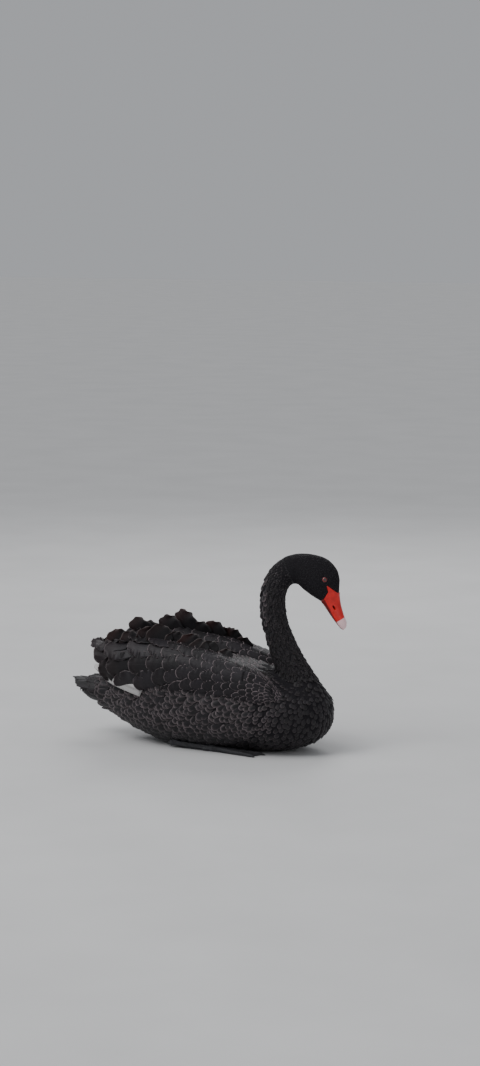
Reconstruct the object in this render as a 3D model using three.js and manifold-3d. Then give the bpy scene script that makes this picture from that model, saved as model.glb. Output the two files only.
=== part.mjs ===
// A life-size black swan at rest on its belly, neck arched and bill turned down, feet tucked beside the keel.
// Millimetres, +X towards the breast, +Y towards the bird's left, +Z up, floor at Z = 0.
import * as THREE from "three";
import { mergeVertices } from "three/addons/utils/BufferGeometryUtils.js";
import Module from "manifold-3d";

const wasm = await Module();
wasm.setup();

// Driving dimensions.
const GAP = 0.36; // clearance that neighbouring pieces keep
const NECK_AXIS_X = 119; // rearmost line of the neck, about which it turns
const HEAD_TURN = 16; // degrees the head looks to the bird's left
const EDGE_SHARE = 5; // how much wider than thicker a vane grows when it makes room for itself
const WIDEST_SHARE = 0.55; // where along its length a vane becomes widest
const END_ROUNDING = 0.3; // how far a vane's corners fall back from its tip, as a share of its half width
const BREAST_CUT_X = 128;
const RUMP_CUT_X = -196;
const TAIL_CUT_X = -264;
const EYE_RADIUS = 5.6;
const TARSUS_LENGTH = 96;
const TOE_LENGTH = 112;

const rad = THREE.MathUtils.degToRad;
const lerp = THREE.MathUtils.lerp;
const V = (x, y, z) => new THREE.Vector3(x, y, z);

// Closed skin over rings of points, with a fan at each end. The two halves of a ring have mirrored
// diagonals, so the two faces of a thin vane are split alike.
class LoftGeometry extends THREE.BufferGeometry {
  constructor(rings) {
    super();
    const around = rings[0].length;
    const last = rings.length - 1;
    const points = rings.flat();
    const centre = (ring) => ring.reduce((sum, p) => sum.add(p), V(0, 0, 0)).divideScalar(around);
    points.push(centre(rings[0]), centre(rings[last]));
    const faces = [];
    for (let k = 0; k < around; k++) {
      const next = (k + 1) % around;
      for (let j = 0; j < last; j++) {
        const [a, b] = [j * around + k, j * around + next];
        const [c, d] = [a + around, b + around];
        if (k < around / 2) faces.push(a, b, d, a, d, c);
        else faces.push(a, b, c, b, d, c);
      }
      faces.push(next, k, points.length - 2);
      faces.push(last * around + k, last * around + next, points.length - 1);
    }
    this.setAttribute("position", new THREE.Float32BufferAttribute(points.flatMap((p) => p.toArray()), 3));
    this.setIndex(faces);
  }
}

// A three.js geometry as a solid for joins and cuts.
function solid(geometry) {
  const bare = new THREE.BufferGeometry().setAttribute("position", geometry.getAttribute("position"));
  bare.setIndex(geometry.index);
  const merged = mergeVertices(bare, 1e-4);
  const vertProperties = new Float32Array(merged.attributes.position.array);
  const mesh = new wasm.Mesh({ numProp: 3, vertProperties, triVerts: new Uint32Array(merged.index.array) });
  mesh.merge();
  const made = new wasm.Manifold(mesh);
  if (made.volume() > 0) return made;
  const flipped = new Uint32Array(mesh.triVerts).reverse();
  return new wasm.Manifold(new wasm.Mesh({ numProp: 3, vertProperties, triVerts: flipped }));
}

const loft = (rings) => solid(new LoftGeometry(rings));
const join = (pieces) => wasm.Manifold.union(pieces);

// The largest closed surface of a solid, with a hollow that the joins sealed filled in.
function largest(made) {
  const parts = made.decompose().filter((part) => part.volume() > 0);
  return parts.sort((a, b) => b.volume() - a.volume())[0];
}

// A smooth track through rows of numbers, read at a place counted in rows.
function track(rows) {
  const last = rows.length - 1;
  const groups = [];
  for (let first = 0; first < rows[0].length; first += 3)
    groups.push(new THREE.CatmullRomCurve3(rows.map((r) => V(r[first], r[first + 1] ?? 0, r[first + 2] ?? 0))));
  return (place) => groups.flatMap((curve) => curve.getPoint(place / last).toArray());
}

// Torso sections from breast to tail root: x, underside, top, half width, height of the widest level.
const torsoTrack = track([
  [256, 74, 96, 10, 86],
  [249, 52, 120, 34, 86],
  [232, 30, 138, 58, 88],
  [202, 12, 152, 84, 90],
  [160, 1, 164, 104, 92],
  [110, -4, 180, 115, 95],
  [50, -6, 194, 120, 97],
  [-15, -6, 202, 119, 99],
  [-80, -4, 202, 113, 101],
  [-140, 6, 190, 101, 104],
  [-190, 21, 170, 84, 106],
  [-235, 42, 151, 66, 106],
  [-272, 62, 139, 50, 108],
  [-306, 79, 132, 35, 112],
  [-338, 104, 128, 15, 118],
]);
const TORSO_ROWS = 14;
const TORSO_RINGS = 27;
const TORSO_SIDES = 28;

// A rounded-box section in the plane of two directions, with its own upper and lower depth.
function section(centre, across, upward, halfWidth, above, below, sides, { squareness = 2.3, pinch = 0 } = {}) {
  const power = (value) => Math.sign(value) * Math.abs(value) ** (2 / squareness);
  return Array.from({ length: sides }, (_, k) => {
    const angle = (2 * Math.PI * k) / sides;
    const [c, s] = [power(Math.cos(angle)), power(Math.sin(angle))];
    const rise = s > 0 ? s * above : s * below;
    return centre
      .clone()
      .addScaledVector(across, c * halfWidth * (1 - pinch * s))
      .addScaledVector(upward, rise);
  });
}

function torso(grow) {
  const rings = [];
  for (let i = 0; i < TORSO_RINGS; i++) {
    const [x, low, high, halfWidth, wide] = torsoTrack((i * TORSO_ROWS) / (TORSO_RINGS - 1));
    const end = i === 0 ? grow : i === TORSO_RINGS - 1 ? -grow : 0;
    rings.push(
      section(V(x + end, 0, wide), V(0, 1, 0), V(0, 0, 1), halfWidth + grow, high - wide + grow, wide - low + grow,
        TORSO_SIDES),
    );
  }
  return loft(rings);
}

// Neck, head and bill sections: distance ahead of the neck axis, height, tilt of the run below the horizontal,
// half depth, half width, turn to the left, squareness, pinch of the upper half.
const headTrack = track([
  [92, 75, -118, 52, 62, 0, 2, 0],
  [75, 119, -114, 49, 47, 0, 2, 0],
  [54, 159, -112, 40.5, 37, 0, 2, 0],
  [34.5, 198, -111, 35, 31, 0, 2, 0],
  [16.5, 238, -108, 32, 28, 0, 2, 0],
  [3, 279, -99, 29.5, 27, 1, 2, 0],
  [-2, 318, -91, 29, 26.5, 4, 2, 0],
  [0, 346, -78, 29, 26, 8, 2, 0],
  [9, 370, -58, 30, 26, 12, 2, 0],
  [25, 387, -32, 31.5, 26, 14, 2, 0],
  [49, 396, -4, 33.5, 26, HEAD_TURN, 2.1, 0.02],
  [73, 390, 13, 40.5, 27.5, HEAD_TURN, 2.2, 0.05],
  [98, 379, 24, 44, 27.5, HEAD_TURN, 2.3, 0.08],
  [117, 360.5, 38, 38.5, 24, HEAD_TURN, 2.3, 0.1],
  [124, 333, 60, 21, 17.5, HEAD_TURN, 2.3, 0.16],
  [132, 311, 62, 15.3, 14, HEAD_TURN, 2.4, 0.2],
  [142.5, 289, 60, 11.3, 13.5, HEAD_TURN, 2.5, 0.14],
  [150.5, 275.5, 55, 9, 11.5, HEAD_TURN, 2.5, 0.1],
  [153.5, 267, 50, 4.5, 7, HEAD_TURN, 2.2, 0],
]);
const [NECK_TOP, BILL_TIP] = [10, 18]; // rows where the head begins and the bill ends
const NECK_BASE = 1.7; // row where the neck leaves the breast

// The upright plane that the head lies in, as a matrix from (ahead, height, to the left) to the part's frame.
function headPlane(turn) {
  const [c, s] = [Math.cos(rad(turn)), Math.sin(rad(turn))];
  return new THREE.Matrix4().makeBasis(V(c, s, 0), V(0, 0, 1), V(-s, c, 0)).setPosition(NECK_AXIS_X, 0, 0);
}

function headRing(place, grow, shift, sides) {
  const [ahead, height, tilt, depth, width, turn, squareness, pinch] = headTrack(place);
  const plane = headPlane(turn);
  const run = V(Math.cos(rad(tilt)), -Math.sin(rad(tilt)), 0);
  const centre = V(ahead, height, 0).addScaledVector(run, shift).applyMatrix4(plane);
  const upward = V(-run.y, run.x, 0).transformDirection(plane);
  const across = V(0, 0, 1).transformDirection(plane);
  return section(centre, across, upward, width + grow, depth + grow, depth + grow, sides, { squareness, pinch });
}

function headRun(from, to, rings, sides, grow = 0) {
  const made = [];
  for (let i = 0; i < rings; i++) {
    const place = lerp(from, to, i / (rings - 1));
    const shift = i === 0 ? GAP / 2 - grow : i === rings - 1 ? -GAP / 2 + grow : 0;
    made.push(headRing(place, grow, shift, sides));
  }
  return loft(made);
}

// An outline drawn in the head's plane as a prism across the whole head.
function headPrism(corners, from = -60, to = 60) {
  const shape = new THREE.Shape(corners.map(([x, y]) => new THREE.Vector2(x, y)));
  const geometry = new THREE.ExtrudeGeometry(shape, { depth: to - from, bevelEnabled: false });
  geometry.translate(0, 0, from).applyMatrix4(headPlane(HEAD_TURN));
  return solid(geometry);
}

// A stretched ball in the head's plane, pitched in that plane.
function headBall(ahead, height, left, radii, pitch = 0, detail = [12, 8]) {
  const geometry = new THREE.SphereGeometry(1, ...detail);
  geometry.scale(...radii).rotateZ(rad(-pitch)).translate(ahead, height, left);
  return solid(geometry.applyMatrix4(headPlane(HEAD_TURN)));
}

const group = new THREE.Group();
const FINISH = {
  plumage: { color: 0x1b181b, roughness: 0.78, metalness: 0 },
  wing: { color: 0x2a2527, roughness: 0.74, metalness: 0 },
  white: { color: 0xdcd9d6, roughness: 0.7, metalness: 0 },
  bill: { color: 0xc81510, roughness: 0.38, metalness: 0 },
  nail: { color: 0xe8c3c0, roughness: 0.4, metalness: 0 },
  eye: { color: 0x8e1a14, roughness: 0.1, metalness: 0 },
  foot: { color: 0x26262a, roughness: 0.6, metalness: 0 },
};

function add(name, made, finish) {
  const { numProp, vertProperties, triVerts } = largest(made).getMesh();
  const geometry = new THREE.BufferGeometry();
  const position = new Float32Array((vertProperties.length / numProp) * 3);
  for (let i = 0; i < position.length / 3; i++)
    position.set(vertProperties.subarray(i * numProp, i * numProp + 3), i * 3);
  geometry.setAttribute("position", new THREE.BufferAttribute(position, 3)).setIndex(
    new THREE.BufferAttribute(new Uint32Array(triVerts), 1),
  );
  const mesh = new THREE.Mesh(geometry, new THREE.MeshStandardMaterial(FINISH[finish]));
  mesh.name = name;
  group.add(mesh);
}

// A feather vane: a thin blade from a root along a direction. It lifts off what lies below it, curls up towards its
// tip, leans sideways by its sweep and is cupped across. Growing it makes the room that it needs.
function vane({ root, along, outward, length, width, thick = 1.6, lift = 0, curl = 0, sweep = 0, cup = 0.12,
  taper = 0.55, tip = 0.68, rings = 6, grow = 0 }) {
  const side = V().crossVectors(along, outward).normalize();
  const up = V().crossVectors(side, along).normalize();
  const made = [];
  const at = root.clone().addScaledVector(along, -grow);
  const step = (length + 2 * grow) / (rings - 1);
  for (let i = 0; i < rings; i++) {
    const q = i / (rings - 1);
    const pitch = rad(lift + curl * q * q);
    const run = along.clone().multiplyScalar(Math.cos(pitch)).addScaledVector(up, Math.sin(pitch))
      .addScaledVector(side, Math.sin(rad(sweep * q))).normalize();
    const rise = V().crossVectors(side, run).normalize();
    const widening = lerp(taper, 1, Math.min(q / WIDEST_SHARE, 1));
    const rounding = Math.sqrt(1 - q ** 4 * (1 - tip * tip));
    const breadth = Math.min(widening, rounding);
    const half = (width / 2) * breadth + EDGE_SHARE * grow;
    const deep = thick / 2 + grow;
    const drop = -cup * width * breadth;
    const corner = at.clone().addScaledVector(rise, drop).addScaledVector(run, -END_ROUNDING * half * q ** 4);
    made.push([
      corner.clone().addScaledVector(side, half),
      at.clone().addScaledVector(rise, deep),
      corner.clone().addScaledVector(side, -half),
      at.clone().addScaledVector(rise, -deep),
    ]);
    at.addScaledVector(run, step);
  }
  return loft(made);
}

// Folded wing: x, distance of the lobe's middle from the keel line, height of the middle, half width, half height.
const wingTrack = track([
  [166, 79, 128, 9, 10],
  [152, 80, 133, 24, 22],
  [126, 80, 143, 35, 33],
  [92, 80, 153, 43, 43],
  [48, 78, 162, 47, 49],
  [4, 77, 170, 49, 53],
  [-42, 76, 177, 49, 54],
  [-90, 73, 180, 48, 56],
  [-140, 70, 179, 44, 57],
  [-186, 65, 178, 38, 49],
  [-230, 58, 178, 29, 38],
  [-272, 51, 180, 10, 14],
]);
const WING_ROWS = 11;
const WING_RINGS = 14;
const WING_SIDES = 16;
const CORE_SHARE = 0.93; // the core's size as a share of the wing that the feathers cover
const ROOT_SINK = 6; // how deep a feather is rooted in the wing
const RIDGE_SINK = 15; // and how deep one of the raised feathers is
const RIGHT_SHARE = 0.8; // length of the right wing's raised feathers as a share of the left one's
const ROOT_RUN = 30; // the stretch of wing that gives a feather its direction
const [TOP_ANGLE, LOW_ANGLE] = [118, -58]; // the tiers' span round the wing
const LOW_LEAD = 34; // how much further forward a tier's lowest feather is rooted than its top one

// Tiers of coverts from the back forwards: place of the roots, how many lie side by side, and their form.
const TIERS = [
  { x: -190, count: 3, length: 99, width: 50, lift: 0, curl: 16, rings: 5 },
  { x: -144, count: 3, length: 99, width: 62, lift: 3, curl: 14, rings: 5 },
  { x: -96, count: 3, length: 96, width: 64, lift: 5, curl: 12, rings: 5 },
  { x: -48, count: 3, length: 86, width: 62, lift: 6, curl: 10, rings: 4 },
  { x: -6, count: 4, length: 74, width: 50, lift: 7, curl: 8, rings: 4 },
  { x: 34, count: 4, length: 64, width: 46, lift: 7, curl: 6, rings: 4 },
  { x: 71, count: 5, length: 53, width: 35, lift: 7, curl: 4, rings: 4 },
  { x: 104, count: 4, length: 46, width: 34, lift: 7, curl: 2, rings: 4 },
];

// Raised feathers along the ridge, from the back forwards: rise is the steepness of their run, and face the angle
// round the wing that their outer side looks to.
const RIDGE = [
  { x: -198, angle: 92, rise: 40, face: 30, length: 56, width: 44, curl: 26 },
  { x: -140, angle: 100, rise: 46, face: 20, length: 42, width: 42, curl: 30 },
  { x: -106, angle: 88, rise: 50, face: 34, length: 56, width: 44, curl: 34 },
  { x: -40, angle: 100, rise: 38, face: 24, length: 42, width: 46, curl: 26 },
  { x: 4, angle: 92, rise: 30, face: 34, length: 38, width: 40, curl: 22 },
];

// Section of the folded wing at a place along it, found by halving because its track is read by rows.
function wingSection(x) {
  let [front, back] = [0, WING_ROWS];
  for (let i = 0; i < 20; i++) {
    const middle = (front + back) / 2;
    if (wingTrack(middle)[0] > x) front = middle;
    else back = middle;
  }
  return wingTrack(front);
}

// Point and outward direction on the folded wing, by the angle round it: 0 outboard, 90 on the ridge.
function onWing(x, angle, sideSign) {
  const [, out, middle, halfWidth, halfHeight] = wingSection(x);
  const [c, s] = [Math.cos(rad(angle)), Math.sin(rad(angle))];
  return {
    point: V(x, sideSign * (out + halfWidth * c), middle + halfHeight * s),
    outward: V(0, (sideSign * c) / halfWidth, s / halfHeight).normalize(),
  };
}

function wingCore(sideSign) {
  const made = [];
  for (let i = 0; i < WING_RINGS; i++) {
    const [x, out, middle, halfWidth, halfHeight] = wingTrack((i * WING_ROWS) / (WING_RINGS - 1));
    const height = halfHeight * CORE_SHARE;
    made.push(section(V(x, sideSign * out, middle), V(0, 1, 0), V(0, 0, 1), halfWidth * CORE_SHARE, height, height,
      WING_SIDES, { squareness: 2 }));
  }
  return loft(made);
}

// Steady random numbers from 0 to 1.
function draws(seed) {
  let state = seed;
  return () => {
    state = (state * 16807) % 2147483647;
    return state / 2147483647;
  };
}

// A feather rooted in the wing, lying back along it or rising from it.
function wingFeather(sideSign, { x, angle, rise = 0, face = angle, sink = ROOT_SINK, ...shape }) {
  const { point, outward } = onWing(x, angle, sideSign);
  const along = onWing(x - ROOT_RUN, angle, sideSign).point.sub(point).normalize();
  along.add(V(0, 0, Math.tan(rad(rise)))).normalize();
  const facing = face === angle ? outward : V(0, sideSign * Math.cos(rad(face)), Math.sin(rad(face)));
  return vane({ root: point.addScaledVector(outward, -sink), along, outward: facing, ...shape });
}

// The wing's coverts in tiers and the raised, curled feathers along its ridge.
function wingFeathers(sideSign) {
  const draw = draws(sideSign > 0 ? 41 : 23);
  const vary = (value, share) => value * (1 + share * (2 * draw() - 1));
  const feathers = [];
  TIERS.forEach(({ x, count, length, width, lift, curl, rings }, tier) => {
    for (let i = 0; i < count; i++) {
      const share = (i + (tier % 2 ? 0.35 : 0.6)) / count;
      feathers.push(wingFeather(sideSign, {
        x: x + LOW_LEAD * share * share + 6 * (draw() - 0.5),
        angle: lerp(TOP_ANGLE, LOW_ANGLE, share),
        rise: -15 * share,
        length: vary(length, 0.07) * lerp(1, 0.8, share),
        width: vary(width, 0.05),
        lift: vary(lift, 0.3) * (1 - 0.7 * share),
        curl: vary(curl, 0.4) * (1 - share),
        sweep: 14 * (draw() - 0.5),
        rings,
      }));
    }
  });
  RIDGE.forEach(({ x, length, ...shape }) => {
    feathers.push(wingFeather(sideSign, {
      x: x + 8 * (draw() - 0.5),
      length: vary(length, 0.06) * (sideSign > 0 ? 1 : RIGHT_SHARE),
      cup: 0.16,
      tip: 0.78,
      sink: RIDGE_SINK,
      rings: 5,
      ...shape,
    }));
  });
  return feathers;
}

// White flight feathers that leave the flank below the wing and run back along the rump.
function primaries(sideSign, grow = 0) {
  const COUNT = 4;
  return join(Array.from({ length: COUNT }, (_, i) => {
    const t = i / (COUNT - 1);
    return vane({
      root: V(-132, sideSign * 102, lerp(120, 131, t)),
      along: V(-1, sideSign * -0.2, 0.27).normalize(),
      outward: V(0, sideSign * 0.93, 0.36).normalize(),
      length: lerp(126, 156, t), width: 22, thick: 3, curl: -14, cup: 0.08, taper: 0.9, rings: 5, grow,
    });
  }));
}

// The fan of tail feathers, arched over its middle pair.
function tailFeathers() {
  const COUNT = 12;
  return Array.from({ length: COUNT }, (_, i) => {
    const t = (i / (COUNT - 1)) * 2 - 1;
    return vane({
      root: V(-262 + 6 * Math.abs(t), 24 * t, 126 - 9 * t * t),
      along: V(-1, 0.2 * t, -0.005).normalize(),
      outward: V(0, 0.75 * t, 1).normalize(),
      length: 102 - 16 * Math.abs(t), width: 24, thick: 2.4, cup: 0.1, taper: 0.8, tip: 0.5, rings: 5,
    });
  });
}

// A foot folded flat beside the keel: tarsus, heel, three front toes with their web, hind toe and claws.
function leg(sideSign) {
  const heel = V(-88, sideSign * 72, 12);
  const ball = V(heel.x + TARSUS_LENGTH, sideSign * 80, 8);
  const pieces = [];
  const rod = (from, to, r0, r1, sides = 6) => {
    const geometry = new THREE.CylinderGeometry(r1, r0, from.distanceTo(to), sides, 1);
    const turn = new THREE.Quaternion().setFromUnitVectors(V(0, 1, 0), to.clone().sub(from).normalize());
    geometry.applyQuaternion(turn).translate(...from.clone().lerp(to, 0.5).toArray());
    return solid(geometry);
  };
  const knob = (at, radius) => solid(new THREE.SphereGeometry(radius, 6, 5).translate(at.x, at.y, at.z));
  pieces.push(rod(heel, ball, 8, 6.5), knob(heel, 10), knob(ball, 8.5));
  // Spread from straight ahead and share of the longest toe's length, inner toe first.
  const TOES = [[-15, 0.8], [-1, 1], [13, 0.9]];
  const ends = TOES.map(([spread, share]) => {
    const way = rad(sideSign * spread);
    return V(ball.x + TOE_LENGTH * share * Math.cos(way), ball.y + TOE_LENGTH * share * Math.sin(way), 4);
  });
  ends.forEach((end) => {
    const claw = end.clone().add(end.clone().sub(ball).setLength(11)).setZ(1.5);
    pieces.push(rod(ball, end, 6, 4.2), rod(end, claw, 4, 0.8, 5));
  });
  const web = new THREE.Shape([ball, ...ends].map((p) => new THREE.Vector2(p.x, p.y)));
  pieces.push(solid(new THREE.ExtrudeGeometry(web, { depth: 2.2, bevelEnabled: false })));
  pieces.push(rod(ball, V(ball.x - 20, ball.y + sideSign * 6, 4), 4, 2.2, 5));
  pieces.push(rod(heel, V(heel.x + 26, heel.y - sideSign * 8, 34), 9, 13));
  return join(pieces).trimByPlane([0, 0, 1], 0);
}

// Assembly of the body: torso with the neck's root, parted by thin upright cuts.
const floorCut = (made) => made.trimByPlane([0, 0, 1], 0);
const between = (made, low, high) =>
  made.trimByPlane([1, 0, 0], low + GAP / 2).trimByPlane([-1, 0, 0], -(high - GAP / 2));
const neckRoot = headRun(0, NECK_BASE, 6, 22);
const legs = { left: leg(1), right: leg(-1) };
const neckAbove = headRun(NECK_BASE, 4, 8, 22, 2 * GAP);
const trunk = join([torso(0).subtract(neckAbove), neckRoot]);
const body = floorCut(trunk);
const eyeSpot = { ahead: 111.5, height: 377, left: 23.5 };

add("breast", between(body, BREAST_CUT_X, 400), "plumage");
add("torso", between(body, RUMP_CUT_X, BREAST_CUT_X), "plumage");
add("rump", between(body, TAIL_CUT_X, RUMP_CUT_X), "plumage");
const tailFan = join([between(body, -400, TAIL_CUT_X), ...tailFeathers()]);
add("tail", between(tailFan, -400, TAIL_CUT_X), "plumage");
add("neck_lower", headRun(NECK_BASE, 4, 8, 22), "plumage");
add("neck_middle", headRun(4, 7, 8, 22), "plumage");
add("neck_upper", headRun(7, NECK_TOP, 8, 22), "plumage");

// Head and bill as one form, then parted along the edge of the bare skin, the mouth and the nail.
const skull = headRun(NECK_TOP, BILL_TIP, 20, 22);
const bareSkin = (inset) => headPrism([
  [139 - inset, 346 - inset], [116 + inset, 364 - inset], [119.5 + inset, 349], [110, 333 - inset], [104, 331 - inset],
  [104, 250], [175, 250], [175, 346 - inset],
]);
const mouth = (inset) => headPrism([
  [100, 334 - inset], [112, 331.5 - inset], [128, 299 - inset], [138, 281 - inset], [146.5, 268.5 - inset],
  [150, 262], [140, 240], [80, 300],
]);
const nailSide = (inset) => headPrism([
  [136, 276 - inset], [172, 283 - inset], [172, 240], [136, 240],
]);
const lid = (sign) => headBall(eyeSpot.ahead, eyeSpot.height, sign * (eyeSpot.left - 3.2), [9.2, 8.2, 5.2], 30);
const eye = (sign, grow) => headBall(
  eyeSpot.ahead, eyeSpot.height, sign * (eyeSpot.left - 3), Array(3).fill(EYE_RADIUS + grow));
const nostril = (sign) => headBall(131.5, 314, sign * 13, [7, 2.4, 4.2], 62, [10, 8]);
const headBase = join([skull.subtract(bareSkin(0)), lid(1), lid(-1)]);
add("head", headBase.subtract(join([eye(1, GAP), eye(-1, GAP)])), "plumage");
const bill = skull.intersect(bareSkin(GAP)).subtract(join([eye(1, GAP), eye(-1, GAP), lid(1), lid(-1)]));
const upperBill = bill.subtract(mouth(0));
add("bill_upper", upperBill.subtract(nailSide(0)).subtract(join([nostril(1), nostril(-1)])), "bill");
add("bill_nail", upperBill.intersect(nailSide(GAP)), "nail");
add("bill_lower", bill.intersect(mouth(GAP)), "bill");
add("eye_left", eye(1, 0), "eye");
add("eye_right", eye(-1, 0), "eye");

const bodyRoom = join([torso(2 * GAP), headRun(0, 4, 10, 22, 2 * GAP)]);
for (const [name, sign] of [["left", 1], ["right", -1]]) {
  const inner = primaries(sign, 2 * GAP);
  const clear = join([bodyRoom, inner]);
  add(`wing_${name}`, join([wingCore(sign), ...wingFeathers(sign)]).subtract(clear), "wing");
  add(`primaries_${name}`, primaries(sign).subtract(bodyRoom), "white");
  add(`leg_${name}`, legs[name].subtract(bodyRoom), "foot");
}
// The origin is the bottom centre of the whole bird's box.
const box = new THREE.Box3().setFromObject(group);
group.position.set(-(box.min.x + box.max.x) / 2, -(box.min.y + box.max.y) / 2, 0);

export default group;
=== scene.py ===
# A life-size black swan at rest on its belly: skin, coat of feathers, ruffled wings, bill, eyes and feet.
import math

import bmesh
import bpy
import numpy as np
from mathutils import Matrix, Vector
from mathutils.kdtree import KDTree


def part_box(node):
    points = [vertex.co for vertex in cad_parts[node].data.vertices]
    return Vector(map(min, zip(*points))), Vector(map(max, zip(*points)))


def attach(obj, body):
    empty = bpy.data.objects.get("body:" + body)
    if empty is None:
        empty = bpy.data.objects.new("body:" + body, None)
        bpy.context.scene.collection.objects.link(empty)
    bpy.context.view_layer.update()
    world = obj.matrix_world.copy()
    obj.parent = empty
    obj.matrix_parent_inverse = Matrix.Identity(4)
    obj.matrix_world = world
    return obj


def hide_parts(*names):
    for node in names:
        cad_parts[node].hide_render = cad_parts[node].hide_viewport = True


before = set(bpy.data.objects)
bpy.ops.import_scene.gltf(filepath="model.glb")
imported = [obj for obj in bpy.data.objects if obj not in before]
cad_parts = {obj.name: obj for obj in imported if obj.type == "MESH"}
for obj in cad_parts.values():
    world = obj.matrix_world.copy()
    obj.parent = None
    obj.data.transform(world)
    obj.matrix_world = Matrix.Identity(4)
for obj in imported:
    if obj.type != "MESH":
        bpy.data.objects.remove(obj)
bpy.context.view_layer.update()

bl_info = {
    "name": "Black Swan",
    "version": (1, 0, 0),
    "blender": (4, 5, 0),
    "location": "3D View > Sidebar > Swan",
    "description": "Dresses the solids of a resting black swan with skin, feathers, bill, eyes and feet",
    "category": "Object",
}

MM = 0.001
SEED = 4127
NECK_AXIS_X = 119.0  # rearmost line of the neck, from the bird's own middle
HEAD_TURN = 16.0  # degrees the head looks to the bird's left
EYE_AHEAD = 111.5  # distance from the neck axis to the line between the eyes, in mm


def middle_of(node):
    """Middle of a solid's box."""
    low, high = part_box(node)
    return (low + high) / 2


def frame_shift():
    """From the bird's own middle, where its sizes are stated, to the middle of the shared frame."""
    turn = math.radians(HEAD_TURN)
    eyes = Vector((NECK_AXIS_X + EYE_AHEAD * math.cos(turn), EYE_AHEAD * math.sin(turn), 0)) * MM
    found = (middle_of("eye_left") + middle_of("eye_right")) / 2
    return Vector((found.x - eyes.x, found.y - eyes.y, 0))


SHIFT = frame_shift()

# Middle line from the bill's root over the head, down the neck and back through the body to the tail:
# distance ahead of the neck axis and height in mm, and the turn to the left in degrees.
MIDDLE_LINE = [
    (118, 347, HEAD_TURN), (98, 379, HEAD_TURN), (73, 390, HEAD_TURN), (49, 396, HEAD_TURN), (25, 387, 14),
    (9, 370, 12), (0, 346, 8), (-2, 318, 4), (3, 279, 1), (16, 238, 0), (34, 198, 0), (54, 159, 0),
    (60, 128, 0), (42, 106, 0), (0, 98, 0), (-80, 98, 0), (-190, 101, 0), (-310, 104, 0), (-457, 118, 0),
]
# Edge of the bare skin seen from the side, as distance ahead of the neck axis and height.
BILL_EDGE = [
    (139, 346), (116, 364), (119.5, 349), (110, 333), (104, 331), (104, 250), (175, 250), (175, 346),
]
HEAD_ROWS, NECK_ROWS = 3.6, 11.5  # rows of the middle line where the head and the neck end

# Sections of the folded wing: x, distance from the keel line, height, half width and half height, in mm.
WING_STATIONS = [
    (166, 79, 128, 9, 10), (152, 80, 133, 24, 22), (126, 80, 143, 35, 33), (92, 80, 153, 43, 43),
    (48, 78, 162, 47, 49), (4, 77, 170, 49, 53), (-42, 76, 177, 49, 54), (-90, 73, 180, 48, 56),
    (-140, 70, 179, 44, 57), (-186, 65, 178, 38, 49), (-230, 58, 178, 29, 38), (-272, 51, 180, 10, 14),
]
# Where each tier of wing feathers ends, from the back forwards.
TIER_ENDS = (-285, -246, -190, -138, -98, -64, -34, -6, 20, 43, 63, 81, 97, 111, 123, 134, 144, 153, 161)
LARGE_TIERS = 9  # tiers of broad, crimped feathers; those in front of them are small and plain
# Raised feathers along each wing's ridge, from the back forwards: root x, angle round the wing, steepness,
# angle round the wing that the outer side faces, length, width and curl.
RUFFLES = [
    (-238, 62, 16, 8, 64, 46, 30), (-214, 40, 10, 0, 66, 48, 22), (-196, 88, 38, 16, 66, 56, 26),
    (-172, 70, 24, 10, 62, 54, 22), (-136, 98, 44, 8, 54, 54, 26), (-102, 88, 48, 20, 66, 58, 30),
    (-70, 100, 30, 14, 50, 52, 24), (-36, 98, 36, 14, 52, 56, 26), (-6, 84, 22, 30, 46, 48, 18),
    (10, 94, 28, 26, 46, 50, 22), (38, 100, 20, 40, 40, 42, 14),
]
RIGHT_SHARE = 0.8  # length of the right wing's raised feathers as a share of the left one's
WING_SIDES = 36  # sides of the wing's own form
BASE_DEPTH = 0.004  # how deep the wing's own form lies under its feathers, in metres

WHITE_STRIP = (-0.265, -0.186)  # stretch of the rump that the white flight feathers lie against, in metres
STUB_END = -0.322  # the skin has no feathers behind this, in metres
STUB_PLACE, STUB_SIZE = (-0.264, 0, 0.101), (0.073, 0.048, 0.034)  # rear end of the skin under the tail
BILL_DEPTH = 0.0022  # how deep the skin lies under the bill, in metres
ROOT_DEPTH = 0.0004  # how deep a coat feather's root lies in the skin, in metres
TRIES = 6  # darts thrown at the skin for each feather's share of it
PATCH_SIZE = 0.003  # side of a feather's patch on the unwrapped skin
PRESSED = 0.003  # height in metres below which feathers are pressed by the floor

# Camera in the bird's own frame, worked out from the photograph's horizon, the bird's heading and its scale.
CAMERA_PLACE = (2068.0, -5018.7, 1184.5)
CAMERA_AZIMUTH, CAMERA_DIP = 22.0, 7.528
LENS = 85.1


def unit(vectors):
    """The same arrows with length one."""
    return vectors / np.maximum(np.linalg.norm(vectors, axis=-1, keepdims=True), 1e-9)


def smoothstep(low, high, value):
    """A soft step from 0 at low to 1 at high."""
    share = np.clip((value - low) / (high - low), 0, 1)
    return share * share * (3 - 2 * share)


def spline(rows, per_row):
    """A smooth line through rows of numbers, with a fixed number of points for each row."""
    rows = np.array(rows, float)
    padded = np.vstack([2 * rows[0] - rows[1], rows, 2 * rows[-1] - rows[-2]])
    places = np.linspace(0, len(rows) - 1, (len(rows) - 1) * per_row + 1)
    first = np.minimum(places.astype(int), len(rows) - 2)
    t = (places - first)[:, None]
    a, b, c, d = (padded[first + k] for k in range(4))
    bend = 2 * a - 5 * b + 4 * c - d
    return 0.5 * (2 * b + (c - a) * t + bend * t**2 + (3 * b - a - 3 * c + d) * t**3)


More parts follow.
